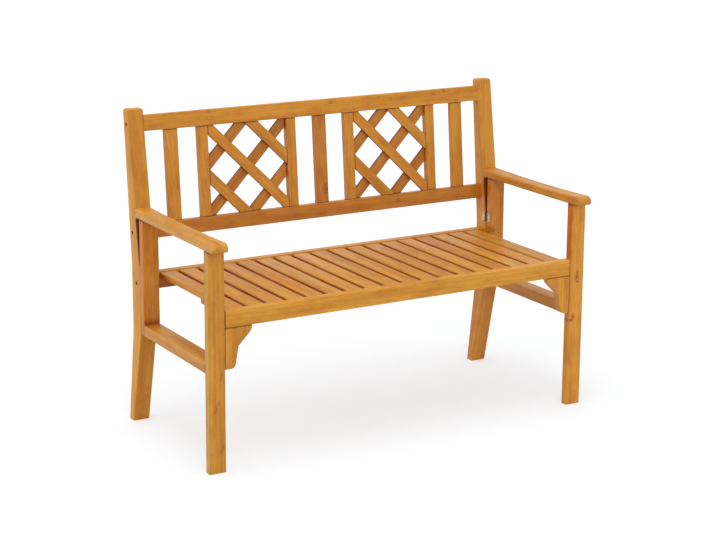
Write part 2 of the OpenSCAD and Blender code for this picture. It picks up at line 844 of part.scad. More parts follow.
module hinge_pins() {
    color(steel)
        for (side = [-1, 1], z = hinge_zs)
            translate([side * hinge_x, hinge_y, z]) {
                cylinder(hinge_h, hinge_pin_r, hinge_pin_r, center = true, $fn = round_fn);
                for (end = [-1, 1])
                    translate([0, 0, end * (hinge_h + hinge_cap_t) / 2])
                        cylinder(hinge_cap_t, hinge_cap_r, hinge_cap_r, center = true, $fn = round_fn);
            }
}

module hinge_screws() {
    color(steel)
        for (side = [-1, 1])
            leaf_screws(side, [-1, 1], 0, 0);
}

translate([0, -mid_y, 0]) {
    rear_leg(-1);  // rear_leg_left
    rear_leg(1);  // rear_leg_right
    back_rail(top_rail_s, top_rail_h);  // back_top_rail
    back_rail(0, bottom_rail_h);  // back_bottom_rail
    back_upright(uprights[0]);  // back_slat_left
    back_upright(uprights[3]);  // back_slat_centre
    back_upright(uprights[6]);  // back_slat_right
    back_upright(uprights[1]);  // lattice_left_outer_stile
    back_upright(uprights[2]);  // lattice_left_inner_stile
    back_upright(uprights[4]);  // lattice_right_inner_stile
    back_upright(uprights[5]);  // lattice_right_outer_stile
    lattice_bars(-1, 0, -1);  // lattice_left_front_bars
    lattice_bars(-1, 1, 1);  // lattice_left_rear_bars
    lattice_bars(1, 0, -1);  // lattice_right_front_bars
    lattice_bars(1, 1, 1);  // lattice_right_rear_bars
    front_leg(-1);  // front_leg_left
    front_leg(1);  // front_leg_right
    armrest(-1);  // armrest_left
    armrest(1);  // armrest_right
    arm_stile(-1);  // arm_stile_left
    arm_stile(1);  // arm_stile_right
    side_stretcher(-1);  // side_stretcher_left
    side_stretcher(1);  // side_stretcher_right
    corner_bracket(-1);  // corner_bracket_left
    corner_bracket(1);  // corner_bracket_right
    seat_front_rail();
    seat_rear_rail();
    seat_batten();
    hinge_leaves(-1, 1);  // hinge_frame_leaves_left
    hinge_leaves(1, 1);  // hinge_frame_leaves_right
    hinge_leaves(-1, -1);  // hinge_arm_leaves_left
    hinge_leaves(1, -1);  // hinge_arm_leaves_right
    hinge_pins();
    hinge_screws();
    pivot_bolts();
    pivot_washers();
    pivot_bushes();
    back_rail_screws();
    side_frame_dowels();
    seat_screws();
    for (i = [1:slat_count])
        seat_slat(i);
}
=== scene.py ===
# %% [markdown]
# # A folding garden bench in oiled softwood
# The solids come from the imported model: every board, rail and slat is already there, at its real size and
# place. This lesson gives them their looks. It sets up the camera and the floor, lights them softly,
# makes one wood finish per board, and replaces the plain bolts and screws by ones with a driven head.
# All lengths are in metres. X runs along the bench, Y from its front to its back and Z up.

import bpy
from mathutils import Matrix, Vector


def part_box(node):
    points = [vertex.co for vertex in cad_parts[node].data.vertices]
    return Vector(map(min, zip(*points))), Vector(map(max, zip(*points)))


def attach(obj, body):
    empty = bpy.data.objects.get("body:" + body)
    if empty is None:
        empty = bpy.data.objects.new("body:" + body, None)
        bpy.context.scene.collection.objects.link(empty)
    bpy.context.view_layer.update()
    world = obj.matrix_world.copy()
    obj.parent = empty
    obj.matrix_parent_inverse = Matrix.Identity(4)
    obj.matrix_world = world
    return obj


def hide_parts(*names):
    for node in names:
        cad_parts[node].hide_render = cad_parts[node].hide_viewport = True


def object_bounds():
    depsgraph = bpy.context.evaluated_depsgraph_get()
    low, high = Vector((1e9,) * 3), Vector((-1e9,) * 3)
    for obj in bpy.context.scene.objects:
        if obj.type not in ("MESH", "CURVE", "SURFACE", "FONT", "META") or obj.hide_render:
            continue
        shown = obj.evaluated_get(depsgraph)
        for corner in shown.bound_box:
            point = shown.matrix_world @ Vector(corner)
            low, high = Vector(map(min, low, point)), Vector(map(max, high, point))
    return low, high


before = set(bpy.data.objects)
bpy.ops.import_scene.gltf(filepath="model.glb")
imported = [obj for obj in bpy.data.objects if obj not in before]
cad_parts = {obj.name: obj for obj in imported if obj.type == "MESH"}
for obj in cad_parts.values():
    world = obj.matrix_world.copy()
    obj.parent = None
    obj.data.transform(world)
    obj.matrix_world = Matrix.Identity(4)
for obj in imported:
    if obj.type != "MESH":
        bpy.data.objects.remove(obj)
cad_low, cad_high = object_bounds()

# %% Tools that the later cells share
import math

import bmesh
import bpy
from mathutils import Euler, Vector

SIDES = {"left": -1, "right": 1}


def mm(*values):
    """Millimetres in metres, as one number or as a vector."""
    scaled = [v / 1000 for v in values]
    return scaled[0] if len(scaled) == 1 else Vector(scaled)


print("the frame is", round(cad_high.x - cad_low.x, 4), "m wide")

# %% [markdown]
# ## The camera
# The bench was seen from its front left and from above, by a lens that kept uprights almost upright.
# A camera that looks down makes legs lean together, so the photographer shifts the lens instead.
# A large shift would push the bench out of every other view, so a small one is used here, with some tilt.
# The camera also leans sideways by a third of a degree, as it did in the picture.
# The place and the lens were solved from the corners of the legs, the rails and the armrests.

# %% Place the camera
IMAGE_WIDTH = 716
FOCAL_PIXELS = 1830.8
AXIS_ABOVE_MIDDLE = 50
SENSOR_WIDTH = 36
CAMERA_PLACE = (-2.5160, -4.2481, 1.7050)
HEADING, LOOK_DOWN = math.radians(30.529), math.radians(13.087)
LEAN = math.radians(0.369)
NEAREST_SEEN, FARTHEST_SEEN = 0.05, 200

camera_data = bpy.data.cameras.new("camera")
camera_data.sensor_width = SENSOR_WIDTH
camera_data.lens = FOCAL_PIXELS * SENSOR_WIDTH / IMAGE_WIDTH
camera_data.shift_y = -AXIS_ABOVE_MIDDLE / IMAGE_WIDTH
camera_data.clip_start, camera_data.clip_end = NEAREST_SEEN, FARTHEST_SEEN
camera = bpy.data.objects.new("camera", camera_data)
camera.location = CAMERA_PLACE
aim = Euler((math.pi / 2 - LOOK_DOWN, 0, -HEADING)).to_matrix()
camera.rotation_euler = (aim @ Euler((0, 0, LEAN)).to_matrix()).to_euler()
bpy.context.scene.collection.objects.link(camera)
bpy.context.scene.camera = camera
print("lens", round(camera_data.lens, 1), "mm, shift", round(camera_data.shift_y, 3))

# %% [markdown]
# ## The floor and the light
# A studio picture of this kind stands on white paper that has no edge: the floor is as white as the air
# above it. The floor is one very large sheet. Seen by the camera it glows a little, more so far from the
# bench, which leaves only the pale grey shadow of the real one. For every other ray it is a matt sheet,
# darker than it looks, because the undersides of the real bench are dark.

# %% Helpers for shader nodes
def add_node(tree, kind, settings=None, feeds=None):
    """Adds a node. A feed is a constant, or the socket that drives it; its key is a name or an index."""
    made = tree.nodes.new(kind)
    for key, value in (settings or {}).items():
        setattr(made, key, value)
    for key, value in (feeds or {}).items():
        if isinstance(value, bpy.types.NodeSocket):
            tree.links.new(value, made.inputs[key])
        else:
            made.inputs[key].default_value = value
    return made


def reckon(tree, how, *numbers):
    """The result of a Math node, such as the product or the larger one of two numbers."""
    return add_node(tree, "ShaderNodeMath", {"operation": how}, dict(enumerate(numbers))).outputs[0]


def reckon_place(tree, how, *places):
    """The result of a Vector Math node: a number for a length or a dot product, or else a vector."""
    made = add_node(tree, "ShaderNodeVectorMath", {"operation": how}, dict(enumerate(places)))
    return made.outputs["Value" if how in ("LENGTH", "DOT_PRODUCT") else "Vector"]


def eased_range(tree, value, low, high, to_low, to_high):
    """A value carried smoothly from one range to another.

    Where a range is kept as four numbers, they are the two that are read and the two that they become.
    """
    made = add_node(tree, "ShaderNodeMapRange", {"interpolation_type": "SMOOTHSTEP"},
                    {"Value": value, "From Min": low, "From Max": high,
                     "To Min": to_low, "To Max": to_high})
    return made.outputs["Result"]


def colour_mix(tree, how, amount, under, over):
    """A colour of three numbers, laid over another colour."""
    mix = add_node(tree, "ShaderNodeMix", {"data_type": "RGBA", "blend_type": how},
                   {0: amount, 6: under, 7: over + (1,)})
    return mix.outputs[2]


def seen_directly(tree):
    """1 for what the camera sees, also in a mirror or through glass."""
    path = add_node(tree, "ShaderNodeLightPath")
    sharp = reckon(tree, "MAXIMUM", path.outputs["Is Camera Ray"], path.outputs["Is Glossy Ray"])
    return reckon(tree, "MAXIMUM", sharp, path.outputs["Is Transmission Ray"])


# %% The white floor
FLOOR_WIDTH = 80
WHITE = (1, 1, 1, 1)
PAPER_SEEN = (0.822, 0.852, 0.880)
PAPER_BOUNCE = (0.60, 0.60, 0.60)
GLOW_SHARE = 0.46
GLOW_RANGE = (1.0, 5.0, 1.12, 1.55)

bpy.ops.object.select_all(action="DESELECT")
bpy.ops.mesh.primitive_plane_add(size=FLOOR_WIDTH, location=(0, 0, cad_low.z))
floor = bpy.context.active_object
floor.name = "floor"
paper = bpy.data.materials.new("white_paper")
paper.use_nodes = True
tree = paper.node_tree
tree.nodes.clear()
seen = seen_directly(tree)
tone = colour_mix(tree, "MIX", seen, PAPER_BOUNCE + (1,), PAPER_SEEN)
plain = add_node(tree, "ShaderNodeBsdfDiffuse", None, {"Color": tone})
place = add_node(tree, "ShaderNodeTexCoord").outputs["Object"]
glow = eased_range(tree, reckon_place(tree, "LENGTH", place), *GLOW_RANGE)
lit = add_node(tree, "ShaderNodeEmission", None, {"Color": WHITE, "Strength": glow})
share = reckon(tree, "MULTIPLY", seen, GLOW_SHARE)
mixed = add_node(tree, "ShaderNodeMixShader", None, {0: share, 1: plain.outputs[0], 2: lit.outputs[0]})
add_node(tree, "ShaderNodeOutputMaterial", None, {"Surface": mixed.outputs[0]})
floor.data.materials.append(paper)
print("floor at", round(cad_low.z, 4))

# %% The white air and the soft lamps
SKY_LEVEL, SKY_SEEN = 0.90, 1.0

world = bpy.data.worlds.new("studio")
bpy.context.scene.world = world
world.use_nodes = True
tree = world.node_tree
tree.nodes.clear()
sky = add_node(tree, "ShaderNodeBackground", None, {"Color": WHITE, "Strength": SKY_LEVEL})
shown = add_node(tree, "ShaderNodeBackground", None, {"Color": WHITE, "Strength": SKY_SEEN})
mixed = add_node(tree, "ShaderNodeMixShader", None,
                 {0: seen_directly(tree), 1: sky.outputs[0], 2: shown.outputs[0]})
add_node(tree, "ShaderNodeOutputWorld", None, {"Surface": mixed.outputs[0]})


def soft_lamp(name, place, target, size, power):
    """A square softbox that faces its target."""
    data = bpy.data.lights.new(name, "AREA")
    data.size = size
    data.energy = power
    lamp = bpy.data.objects.new(name, data)
    lamp.location = place
    lamp.rotation_euler = (Vector(target) - Vector(place)).to_track_quat("-Z", "Y").to_euler()
    bpy.context.scene.collection.objects.link(lamp)


soft_lamp("softbox_above", (-0.8, -0.6, 4.6), target=(0, 0, 0.3), size=3.2, power=64)
soft_lamp("softbox_front", (-2.2, -7.6, 3.6), target=(0, 0, 0.5), size=3.4, power=112)
soft_lamp("softbox_left", (-6.0, 0.6, 2.4), target=(0, 0, 0.5), size=2.6, power=60)
bpy.context.scene.view_settings.view_transform = "Standard"
print("sky at", SKY_LEVEL, "with", len(bpy.data.lights), "lamps")

# %% [markdown]
# ## The wood
# The boards are pine with a honey-coloured oil stain. Three things show on such wood: the growth rings,
# which a saw turns into long stripes, the fine fibres between them, and here and there a knot that the
# stripes flow round. A picture of wood would repeat and would stop at each edge. Instead every board is
# cut out of its own trunk: rings round an axis that runs along the board, some centimetres beside it and
# tilted by about half a degree. The pattern is solid, so the stripes on one face meet those on the next,
# and the ends show the rings.

# %% The colours of the wood, of its joint lines and of its painted shade
DEEP_STAIN = (0.500, 0.193, 0.0062)
MIDDLE_STAIN = (0.575, 0.248, 0.0125)
PALE_STAIN = (0.635, 0.298, 0.0270)
LATE_WOOD = (0.76, 0.58, 0.34)
FIBRE_SHADE = (0.84, 0.74, 0.52)
CLOUD_SHADE = (0.84, 0.74, 0.58)
KNOT_HALO = (0.78, 0.62, 0.42)
KNOT_RIM = (0.52, 0.32, 0.16)
KNOT_HEART = (0.200, 0.060, 0.008)
LATTICE_EDGE_SHADE = (0.42, 0.23, 0.10)
GAP_SHADE = (0.40, 0.16, 0.015)
SLOT_SHADE = (0.58, 0.29, 0.10)
INNER_LEG_SHADE = (0.76, 0.52, 0.20)
UNDER_SLAT_SHADE = (0.84, 0.58, 0.24)
JOINT_LINE_AND_SHADE = (0.36, 0.23, 0.12)
SEAM_STAIN = (0.54, 0.41, 0.27)
CORNER_SHADE = (0.72, 0.50, 0.34)
STILE_FOOT_SHADE = (0.82, 0.77, 0.68)
HOLE_SHADE = (0.16, 0.08, 0.03)
print("stain from", DEEP_STAIN, "to", PALE_STAIN)

# %% [markdown]
# A knot is the foot of a branch. On the face of a board it is a dark oval: a red-brown heart, a thin dark
# rim and a halo in the wood round it. Each one is a middle and three radii, and the shader measures the
# distance to the nearest of them in those radii. The clouds in the wood make the outline wander, as a
# real one does.

# %% Knots
KNOT_WANDER = (0.3, 0.7, -0.45, 0.20)
HALO_SPAN, HALO_AMOUNT = (0.9, 2.2), 0.6
RIM_RISE, RIM_FALL, RIM_AMOUNT = (0.9, 1.2), (1.2, 1.55), 0.7
HEART_SPAN, HEART_AMOUNT = (0.35, 0.9), 0.85


def knot_distance(tree, place, knot, across_face, wander):
    """How far a point lies from a knot's middle, in knot radii.

    A knot runs straight through its board, so the distance across the face doesn't count.
    """
    centre, radii = knot
    squeeze = [1 / radius for radius in radii]
    squeeze["XYZ".index(across_face)] = 0
    apart = reckon_place(tree, "SUBTRACT", place, centre)
    scaled = reckon_place(tree, "MULTIPLY", apart, squeeze)
    return reckon(tree, "ADD", reckon_place(tree, "LENGTH", scaled), wander)


def nearest_knot(tree, place, knots, across_face, clouds):
    """The distance to the nearest of one or more knots."""
    wander = eased_range(tree, clouds, *KNOT_WANDER)
    distances = [knot_distance(tree, place, knot, across_face, wander) for knot in knots]
    nearest = distances[0]
    for distance in distances[1:]:
        nearest = reckon(tree, "MINIMUM", nearest, distance)
    return nearest


def lay_knots(tree, colour, nearest, depth):
    """Colours the halo, the rim and the heart of the knots. A small depth makes them pale."""
    halo = eased_range(tree, nearest, *HALO_SPAN, HALO_AMOUNT * depth, 0)
    colour = colour_mix(tree, "MULTIPLY", halo, colour, KNOT_HALO)
    inner_side = eased_range(tree, nearest, *RIM_RISE, 0, RIM_AMOUNT * depth)
    rim = reckon(tree, "MULTIPLY", inner_side, eased_range(tree, nearest, *RIM_FALL, 1, 0))
    colour = colour_mix(tree, "MULTIPLY", rim, colour, KNOT_RIM)
    heart = eased_range(tree, nearest, *HEART_SPAN, HEART_AMOUNT * depth, 0)
    return colour_mix(tree, "MIX", heart, colour, KNOT_HEART)


print("a knot's halo ends at", HALO_SPAN[1], "radii")

# %% [markdown]
# Where boards meet, a real bench shows a thin dark line. Deep corners, gaps and holes lie in shade, dark
# and reddish, and here that shade is painted on the wood; a few faces get painted light. Such a shade is
# one colour that multiplies the wood inside a few bounds. It needs no extra shape, and it stays on its
# board when the seat turns up. A rear leg is one board with two bends. Its pattern is shifted above one
# bend and below the other, so that the fibres turn with the leg.

# %% Shades and bends
def lay_shades(tree, place, colour, shades):
    """Darkens or lights up parts of a piece, with joint lines, painted shade or painted light.

    Each shade is a colour and the bounds of its place. A bound is a direction, with the distance along it
    where the shade starts and the distance where it is full.
    """
    for shade_colour, bounds in shades:
        depth = None
        for direction, start, full in bounds:
            along_it = reckon_place(tree, "DOT_PRODUCT", place, direction)
            inside = eased_range(tree, along_it, start, full, 0, 1)
            depth = inside if depth is None else reckon(tree, "MULTIPLY", depth, inside)
        colour = colour_mix(tree, "MULTIPLY", depth, colour, shade_colour)
    return colour


def follow_bends(tree, place, bends):
    """Shifts the pattern of a bent board, so that its fibres turn with it at each bend.

    A bend is its height, whether the board slants above it or below it, and the slant towards the back.
    """
    height = add_node(tree, "ShaderNodeSeparateXYZ", None, {0: place}).outputs["Z"]
    for bend_height, part, slant in bends:
        beyond = reckon(tree, "MAXIMUM" if part == "above" else "MINIMUM", height, bend_height)
        shift = reckon(tree, "MULTIPLY_ADD", beyond, -slant, bend_height * slant)
        moved = add_node(tree, "ShaderNodeCombineXYZ", None, {"Y": shift})
        place = reckon_place(tree, "ADD", place, moved.outputs[0])
    return place


print("shades and bends ready")

# %% [markdown]
# The number of a board picks its trunk: how the heart is tilted, on which side of the board it runs and
# how far off. The steps between two boards are uneven, so that no two of them look alike.

# %% A board's place in its trunk
TRUNK_TILT_DEGREES = 0.6
TILT_STEPS = (1.9, 2.7, 3.1)
HEART_TURN = 2.4
HEART_REACH, REACH_STEP, REACH_CHOICES = 0.050, 0.022, 4
TRUNK_STEP = 1.37


def place_in_trunk(tree, place, axis, centre, number):
    """A place on a board, turned and shifted so that the origin lies in the heart of its trunk."""
    swings = [math.sin(TILT_STEPS[0] * number), math.cos(TILT_STEPS[1] * number),
              math.sin(TILT_STEPS[2] * number)]
    turn = [math.radians(TRUNK_TILT_DEGREES * swing) for swing in swings]
    turn[axis] = 0
    angle = HEART_TURN * number
    reach = HEART_REACH + REACH_STEP * (number % REACH_CHOICES)
    heart = Vector(centre)
    heart[(axis + 1) % 3] += reach * math.cos(angle)
    heart[(axis + 2) % 3] += reach * math.sin(angle)
    heart[axis] -= TRUNK_STEP * number
    offset = -(Euler(turn).to_matrix() @ heart)
    return add_node(tree, "ShaderNodeMapping", None,
                    {"Vector": place, "Location": offset, "Rotation": turn}).outputs[0]


farthest = HEART_REACH + REACH_STEP * (REACH_CHOICES - 1)
print("a heart lies", HEART_REACH, "to", round(farthest, 3), "m from its board's middle")

# %% [markdown]
# The rings are a wave texture and the rest is noise. Squeezed along the board, the noise draws out into
# fibres. The rings' dark late wood, the fibres and the clouds are laid over the stain one after the
# other.

# %% Patterns of the wood
FIBRE_STRETCH, CLOUD_STRETCH = 0.045, 0.35
CLOUD_NOISE = (46, 6, 0.66)
BROAD_NOISE = (34, 5, 0.62)
FIBRE_NOISE = (620, 3, 0.6)
RING_WAVE = {"Scale": 46, "Distortion": 2.2, "Detail": 2.5, "Detail Scale": 0.8}
RING_FLOW = (0.5, 3.0, 9, 0)
LATE_STOPS = [(0.25, (0, 0, 0, 1)), (0.90, (1, 1, 1, 1)), (1.0, (0.3, 0.3, 0.3, 1))]
LATE_AMOUNT = 0.34
FIBRE_RANGE = (0.35, 0.7, 0, 0.35)
CLOUD_RANGE = (0.42, 0.64, 0, 0.8)


def stretched(tree, place, axis, amount):
    """A place squeezed along one axis, which draws a pattern out along it."""
    squeeze = [1, 1, 1]
    squeeze[axis] = amount
    return add_node(tree, "ShaderNodeMapping", None, {"Vector": place, "Scale": squeeze}).outputs[0]


def noise(tree, place, scale, detail, roughness):
    """A noise pattern between 0 and 1."""
    feeds = {"Vector": place, "Scale": scale, "Detail": detail, "Roughness": roughness}
    return add_node(tree, "ShaderNodeTexNoise", None, feeds).outputs["Fac"]


def colour_ramp(tree, amount, stops):
    """Runs through the colours of some stops. The first two move the two stops that a new ramp has."""
    ramp = add_node(tree, "ShaderNodeValToRGB", None, {"Fac": amount})
    elements = ramp.color_ramp.elements
    for number, (position, colour) in enumerate(stops):
        if number < 2:
            elements[number].position = position
            elements[number].color = colour
        else:
            elements.new(position).color = colour
    return ramp.outputs["Color"]


def tinted(colour, tone):
    """A stain colour for one board; tone shifts it a little to light or dark."""
    return tuple(c * t for c, t in zip(colour, tone)) + (1,)


print("fibres", round(1 / FIBRE_STRETCH), "times as long as they are thick")

# %% [markdown]
# Oil leaves wood half matt, with a faint sheen. A weak coat over a fairly rough surface gives that, and a
# slight relief from the fibres and the rings breaks up the gleam.

# %% One board's finish
STAIN_POSITIONS = {"deep": 0.34, "pale": 0.68, "middle": 0.5}
OIL_ROUGHNESS = (0.3, 0.7, 0.52, 0.42)
OIL_SHEEN = {"Specular IOR Level": 0.40, "Coat Weight": 0.08, "Coat Roughness": 0.30}
WOOD_RELIEF = {"Strength": 0.2, "Distance": 0.0004}


def new_finish(name):
    """A new material, its node tree, its shader, and the place of a point of the piece."""
    material = bpy.data.materials.new(name)
    material.use_nodes = True
    tree = material.node_tree
    place = add_node(tree, "ShaderNodeTexCoord").outputs["Object"]
    return material, tree, tree.nodes["Principled BSDF"], place


def add_relief(tree, shader, height, relief):
    """Fine bumps in a surface."""
    bump = add_node(tree, "ShaderNodeBump", None, {**relief, "Height": height})
    tree.links.new(bump.outputs["Normal"], shader.inputs["Normal"])


def stained_wood(name, along, centre, number, knots=(), knot_depth=1.0, across_face="Y", tone=(1, 1, 1),
                 shades=(), bends=()):
    """Oiled softwood for one board, whose fibres run along one axis."""
    material, tree, shader, place = new_finish(name)
    axis = "XYZ".index(along)
    lying = place_in_trunk(tree, follow_bends(tree, place, bends), axis, centre, number)
    clouds = noise(tree, stretched(tree, lying, axis, CLOUD_STRETCH), *CLOUD_NOISE)
    drawn = stretched(tree, lying, axis, FIBRE_STRETCH)
    broad = noise(tree, drawn, *BROAD_NOISE)
    fibres = noise(tree, drawn, *FIBRE_NOISE)
    rings = add_node(tree, "ShaderNodeTexWave",
                     {"wave_type": "RINGS", "rings_direction": along, "wave_profile": "SAW"},
                     {"Vector": drawn, **RING_WAVE})
    nearest = nearest_knot(tree, place, knots, across_face, clouds) if knots else None
    if knots:
        tree.links.new(eased_range(tree, nearest, *RING_FLOW), rings.inputs["Phase Offset"])

    late = reckon(tree, "MULTIPLY", colour_ramp(tree, rings.outputs["Fac"], LATE_STOPS), LATE_AMOUNT)
    stain = colour_ramp(tree, broad, [(STAIN_POSITIONS["deep"], tinted(DEEP_STAIN, tone)),
                                      (STAIN_POSITIONS["pale"], tinted(PALE_STAIN, tone)),
                                      (STAIN_POSITIONS["middle"], tinted(MIDDLE_STAIN, tone))])
    colour = colour_mix(tree, "MULTIPLY", late, stain, LATE_WOOD)
    colour = colour_mix(tree, "MULTIPLY", eased_range(tree, fibres, *FIBRE_RANGE), colour, FIBRE_SHADE)
    colour = colour_mix(tree, "MULTIPLY", eased_range(tree, clouds, *CLOUD_RANGE), colour, CLOUD_SHADE)
    if knots:
        colour = lay_knots(tree, colour, nearest, knot_depth)
    tree.links.new(lay_shades(tree, place, colour, shades), shader.inputs["Base Color"])

    tree.links.new(eased_range(tree, broad, *OIL_ROUGHNESS), shader.inputs["Roughness"])
    for socket, amount in OIL_SHEEN.items():
        shader.inputs[socket].default_value = amount
    add_relief(tree, shader, reckon(tree, "ADD", fibres, late), WOOD_RELIEF)
    return material


def node_middle(name):
    """The middle of a CAD node's box."""
    low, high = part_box(name)
    return (low + high) / 2


def dress(piece, finish):
    """Gives a piece one finish all over."""
    piece.data.materials.clear()
    piece.data.materials.append(finish)


def finish_board(name, along, number, **details):
    """Gives a CAD board its own wood."""
    wood = stained_wood("wood_" + name, along, node_middle(name), number, **details)
    dress(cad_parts[name], wood)


print("oiled wood ready")

# %% [markdown]
# ## The side frames
# The fibres of a leg run up it, and those of a stretcher or an armrest run from front to back, because
# wood is strong along its fibres. The front legs carry the knots that one notices first. Each board takes
# a number of its own, which picks its trunk. A tone per board, a factor for red, green and blue, makes
# one a little paler or redder than the next.

# %% Directions, and the dark line of a joint
UP, DOWN = (0, 0, 1), (0, 0, -1)
BACKWARDS, FORWARDS = (0, 1, 0), (0, -1, 0)
TO_LEFT, TO_RIGHT = (-1, 0, 0), (1, 0, 0)
OUT = {"left": TO_LEFT, "right": TO_RIGHT}
IN = {"left": TO_RIGHT, "right": TO_LEFT}
JOINT_NEAR, JOINT_FAR = mm(1.5), mm(3.2)


def end_shades(name, colour):
    """The shades at the left end and at the right end of a piece, where it meets another."""
    low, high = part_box(name)
    return {"left": [(colour, [(TO_RIGHT, low.x + JOINT_FAR, low.x + JOINT_NEAR)])],
            "right": [(colour, [(TO_RIGHT, high.x - JOINT_FAR, high.x - JOINT_NEAR)])]}


leg_low, leg_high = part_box("front_leg_left")
outer_face, inner_face, leg_top = -leg_low.x, -leg_high.x, leg_high.z
seat_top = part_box("seat_slat_01")[1].z
stretcher_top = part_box("side_stretcher_left")[1].z
stile_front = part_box("arm_stile_left")[0].y
print("legs from", round(inner_face, 4), "to", round(outer_face, 4), "m off the middle")

# %% Front legs
FIRST_BOARD = {"left": 1, "right": 7}
LEG_TONES = {"left": (1, 1, 1), "right": (1.13, 1.12, 1.28)}
LEG_SIDE_LIGHT = {"left": (0.92, 1.08, 1.24), "right": (1, 1, 1)}
LEG_KNOT_DEPTHS = {"left": 0.6, "right": 1.0}
leg_knots = {
    "left": [(mm(-552.5, -242.5, 263.7), mm(1.4, 1, 4)), (mm(-556.2, -242.5, 254.2), mm(1.6, 1, 5)),
             (mm(-562.5, -242.5, 188.2), mm(2, 1, 6)), (mm(-569.0, -242.5, 177.7), mm(2.5, 1, 7)),
             (mm(-573.8, -242.5, 166.9), mm(2.5, 1, 5)), (mm(-550.2, -242.5, 67.9), mm(2, 1, 5)),
             (mm(-555.9, -242.5, 60.1), mm(2, 1, 5))],
    "right": [(mm(566.6, -242.5, 377.5), mm(5, 1, 6.5)), (mm(568.4, -242.5, 391.6), mm(2.4, 1, 3.6)),
              (mm(569.6, -242.5, 363.4), mm(4, 1, 2.2)), (mm(557.5, -242.5, 261.5), mm(4.6, 1, 5)),
              (mm(550.0, -242.5, 252.5), mm(6, 1, 2.6))],
}
# A dark joint line under the armrest, widened into a painted shadow of the armrest.
under_armrest = (JOINT_LINE_AND_SHADE, [(UP, leg_top - mm(7), leg_top - mm(0.4))])
for side in SIDES:
    # Painted shade: the inner face of a leg just above the seat is darker and redder.
    beside_seat = (INNER_LEG_SHADE, [(IN[side], -inner_face - mm(4), -inner_face - mm(0.2)),
                                 (UP, seat_top - mm(5), seat_top + mm(10))])
    # Painted light: the outer face of the left leg is paler, as if lit from the left.
    lit_outer_side = (LEG_SIDE_LIGHT[side], [(OUT[side], outer_face - mm(2.4), outer_face - mm(0.6))])
    finish_board("front_leg_" + side, "Z", FIRST_BOARD[side], knots=leg_knots[side],
                 knot_depth=LEG_KNOT_DEPTHS[side], tone=LEG_TONES[side],
                 shades=[beside_seat, under_armrest, lit_outer_side])
print("front legs finished, with", sum(len(knots) for knots in leg_knots.values()), "knots")

# %% [markdown]
# The rear legs run up as the posts of the back. Between the seat and the armrest the post's front face
# looks into the narrow gap behind the side frame, and the shade of that gap is painted on it, very dark.
# Its three bolt holes have painted shade inside.

# %% Rear legs
POST_SLOPE = 0.1474
POST_FRONT, UPPER_BEND, LOWER_BEND = mm(179.5), mm(454), mm(265)
LEG_BENDS = [(UPPER_BEND, "above", 0.135), (LOWER_BEND, "below", -0.205)]
POST_SIDE_LIGHT = {"left": (1.09, 1.20, 1.14), "right": (1, 1, 1)}
FOOT_LIGHT = {"left": (1.05, 1.02, 1.00), "right": (1.12, 1.02, 0.96)}
BORE_REACH, BORE_EASE = mm(5.8), mm(0.1)
PIVOT = (203.464, 406)
RAIL_SCREWS = [(223.565, 543.16), (250.02, 836.83)]

foot_of_slope = POST_FRONT - POST_SLOPE * UPPER_BEND
# Painted shade: the post's front face in the gap behind the side frame is very dark.
in_the_gap = (GAP_SHADE, [((0, 1, -POST_SLOPE), foot_of_slope + mm(3), foot_of_slope + mm(0.6)),
                            (UP, leg_top - mm(2), leg_top - mm(6)),
                            (UP, UPPER_BEND + mm(1), UPPER_BEND + mm(16))])


def bore_shade(side, bore):
    """Painted shade inside a bolt hole, bounded by the outer face of the post and the hole's four sides."""
    walls = [(OUT[side], outer_face - mm(0.2), outer_face - mm(1.6))]
    for direction in [UP, DOWN, BACKWARDS, FORWARDS]:
        edge = bore.dot(Vector(direction)) + BORE_REACH
        walls.append((direction, edge + BORE_EASE, edge))
    return (HOLE_SHADE, walls)


for side in SIDES:
    # Painted light: each rear leg is paler below the seat, for the light from the floor.
    lit_foot = (FOOT_LIGHT[side], [(UP, seat_top, seat_top - mm(100))])
    # Painted light: the outer face of the left post is paler, as if lit from the left.
    lit_outer_side = (POST_SIDE_LIGHT[side], [(OUT[side], outer_face - mm(2.4), outer_face - mm(0.6))])
    # Painted shade inside the three bolt holes of each post.
    in_bores = [bore_shade(side, mm(0, y, z)) for y, z in [PIVOT] + RAIL_SCREWS]
    finish_board("rear_leg_" + side, "Z", FIRST_BOARD[side] + 1, across_face="X", bends=LEG_BENDS,
                 shades=[in_the_gap, lit_foot, lit_outer_side] + in_bores)
print("rear legs finished, with", len(in_bores), "bolt holes each")

# %% [markdown]
# The stile and the stretcher close the side frame behind and below. The corner between them lies in the
# shade of the seat, and that shade is painted on both boards; the stile is also painted darker towards
# its foot.

# %% Stiles, stretchers and armrests
STILE_TONE = (0.99, 0.86, 0.66)
STRETCHER_TONES = {"left": (1, 1, 1), "right": (1.18, 1.12, 1.04)}
ARMREST_TONES = {"left": (1.00, 1.07, 1.14), "right": (0.94, 0.92, 0.82)}
STILE_KNOT_DEPTH = 0.8
stile_knots = {"left": [], "right": [(mm(550.5, 155.5, 432), mm(7, 1, 8))]}
